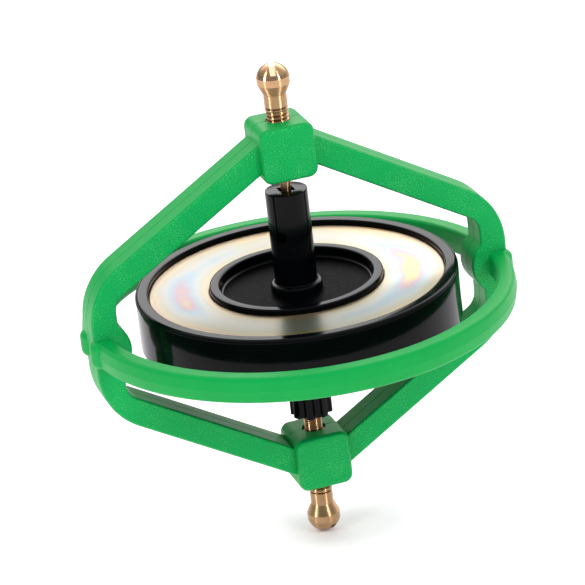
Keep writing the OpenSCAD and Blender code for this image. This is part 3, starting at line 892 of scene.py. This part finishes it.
# The floor's emission is painted light, and its dim middle is a painted shadow.
painted_glow_and_shadow = add(floor_tree, "ShaderNodeMapRange", {"interpolation_type": "SMOOTHSTEP"}, {
    "Value": floor_reach.outputs["Value"], "From Min": 3 * mm, "From Max": 20 * mm,
    "To Min": 0.02, "To Max": 0.4})
floor_shader = add(floor_tree, "ShaderNodeBsdfPrincipled", inputs={
    "Base Color": linear("#F6F1F6"), "Roughness": 0.9, "Emission Color": linear("#FFFFFF"),
    "Emission Strength": painted_glow_and_shadow.outputs["Result"]})
add(floor_tree, "ShaderNodeOutputMaterial", inputs={"Surface": floor_shader.outputs[0]})
floor_mesh.materials.append(floor_material)

world = bpy.data.worlds.new("studio")
bpy.context.scene.world = world
world.use_nodes = True
room = world.node_tree
room.nodes.clear()
look = add(room, "ShaderNodeTexCoord")
ray = add(room, "ShaderNodeLightPath")
rise = add(room, "ShaderNodeSeparateXYZ", inputs={0: look.outputs["Generated"]})
backdrop = add(room, "ShaderNodeMapRange", inputs={
    "Value": ray.outputs["Is Glossy Ray"], "To Min": 0.7, "To Max": 0.1})
window_edge = add(room, "ShaderNodeMapRange", {"interpolation_type": "SMOOTHSTEP"}, {
    "Value": rise.outputs["Z"], "From Min": 0.2, "From Max": 0.35, "To Max": 2.7})
band = add(room, "ShaderNodeMath", {"operation": "MULTIPLY"}, {
    0: window_edge.outputs["Result"], 1: ray.outputs["Is Glossy Ray"]})
# Each bright patch of the room: the way to it, where it fades out, where it is full, and its brightness.
walls = [
    ((0.435, 0.9, 0.0), 0.35, 0.62, backdrop.outputs["Result"]),
    ((0.53, 0.76, 0.376), 0.76, 0.9, band.outputs[0]),
    ((-0.1, 0.75, 0.65), 0.88, 0.97, 1.2),
    ((0.4, 0.3, 1.0), 0.3, 0.85, 0.5)]
room_glow = add(room, "ShaderNodeMapRange", inputs={
    "Value": ray.outputs["Is Glossy Ray"], "To Min": 0.5, "To Max": 0.22})
sky = add(room, "ShaderNodeMath", {"operation": "MULTIPLY_ADD"}, {
    0: band.outputs[0], 1: 0.12, 2: room_glow.outputs["Result"]})
total = sky.outputs[0]
for towards, edge, full, brightness in walls:
    aim = add(room, "ShaderNodeVectorMath", {"operation": "DOT_PRODUCT"}, {
        0: look.outputs["Generated"], 1: Vector(towards).normalized()})
    wall = add(room, "ShaderNodeMapRange", {"interpolation_type": "SMOOTHSTEP"}, {
        "Value": aim.outputs["Value"], "From Min": edge, "From Max": full, "To Max": brightness})
    lighter = add(room, "ShaderNodeMath", {"operation": "ADD"}, {0: total, 1: wall.outputs["Result"]})
    total = lighter.outputs[0]
seen = add(room, "ShaderNodeMath", {"operation": "MAXIMUM"}, {0: total, 1: ray.outputs["Is Camera Ray"]})
background = add(room, "ShaderNodeBackground", inputs={
    "Color": linear("#FFFFFF"), "Strength": seen.outputs[0]})
add(room, "ShaderNodeOutputWorld", inputs={"Surface": background.outputs[0]})
bpy.context.scene.view_settings.view_transform = "Standard"


def soft_box(name, place, size, power):
    """A rectangular soft box that looks at the rotor."""
    light = bpy.data.lights.new(name, "AREA")
    light.shape = "RECTANGLE"
    light.size, light.size_y = size
    light.energy = power
    lamp = bpy.data.objects.new(name, light)
    lamp.location = place
    lamp.rotation_euler = (-Vector(place)).to_track_quat("-Z", "Y").to_euler()
    bpy.context.scene.collection.objects.link(lamp)
    return lamp


# The boxes light the whole gyroscope softly. The narrow strips only put bright lines on the turned brass.
for box in (soft_box("left_box", (-0.5, -0.18, 0.4), (0.25, 0.4), 1.9),
            soft_box("right_box", (0.26, -0.47, 0.35), (0.2, 0.3), 1.4)):
    box.visible_glossy = False
screws = bpy.data.collections.new("turned_screws")
for piece in ("upper_ball_screw", "lower_ball_screw"):
    screws.objects.link(bpy.data.objects[piece])
for strip in (soft_box("left_strip", (-0.525, -0.114, 0.25), (0.04, 0.45), 3.4),
              soft_box("right_strip", (0.26, -0.47, 0.25), (0.04, 0.45), 2.9)):
    strip.visible_diffuse = False
    strip.light_linking.receiver_collection = screws

azimuth, elevation, roll = (math.radians(angle) for angle in (-15.8, 22.1, -6.7))
distance = 600 * mm
image_px = 585
px_per_mm = 5.94
centre_px = (299.0, 301.7)
sensor = 36.0

back = Vector((math.sin(azimuth) * math.cos(elevation), -math.cos(azimuth) * math.cos(elevation),
               math.sin(elevation)))
level = (-back).cross(Vector((0, 0, 1))).normalized()
upright = level.cross(-back)
right = math.cos(roll) * level + math.sin(roll) * upright
above = math.cos(roll) * upright - math.sin(roll) * level
aside = (centre_px[0] - image_px / 2) / px_per_mm * mm
below = (centre_px[1] - image_px / 2) / px_per_mm * mm
camera_data = bpy.data.cameras.new("camera")
camera_data.sensor_width = sensor
camera_data.lens = sensor * px_per_mm * (distance / mm) / image_px
camera_data.clip_start, camera_data.clip_end = 0.05, 20
camera = bpy.data.objects.new("camera", camera_data)
bpy.context.scene.collection.objects.link(camera)
camera.matrix_world = Matrix.Translation(back * distance - right * aside + above * below) @ Matrix(
    (right, above, back)).transposed().to_4x4()
bpy.context.scene.camera = camera
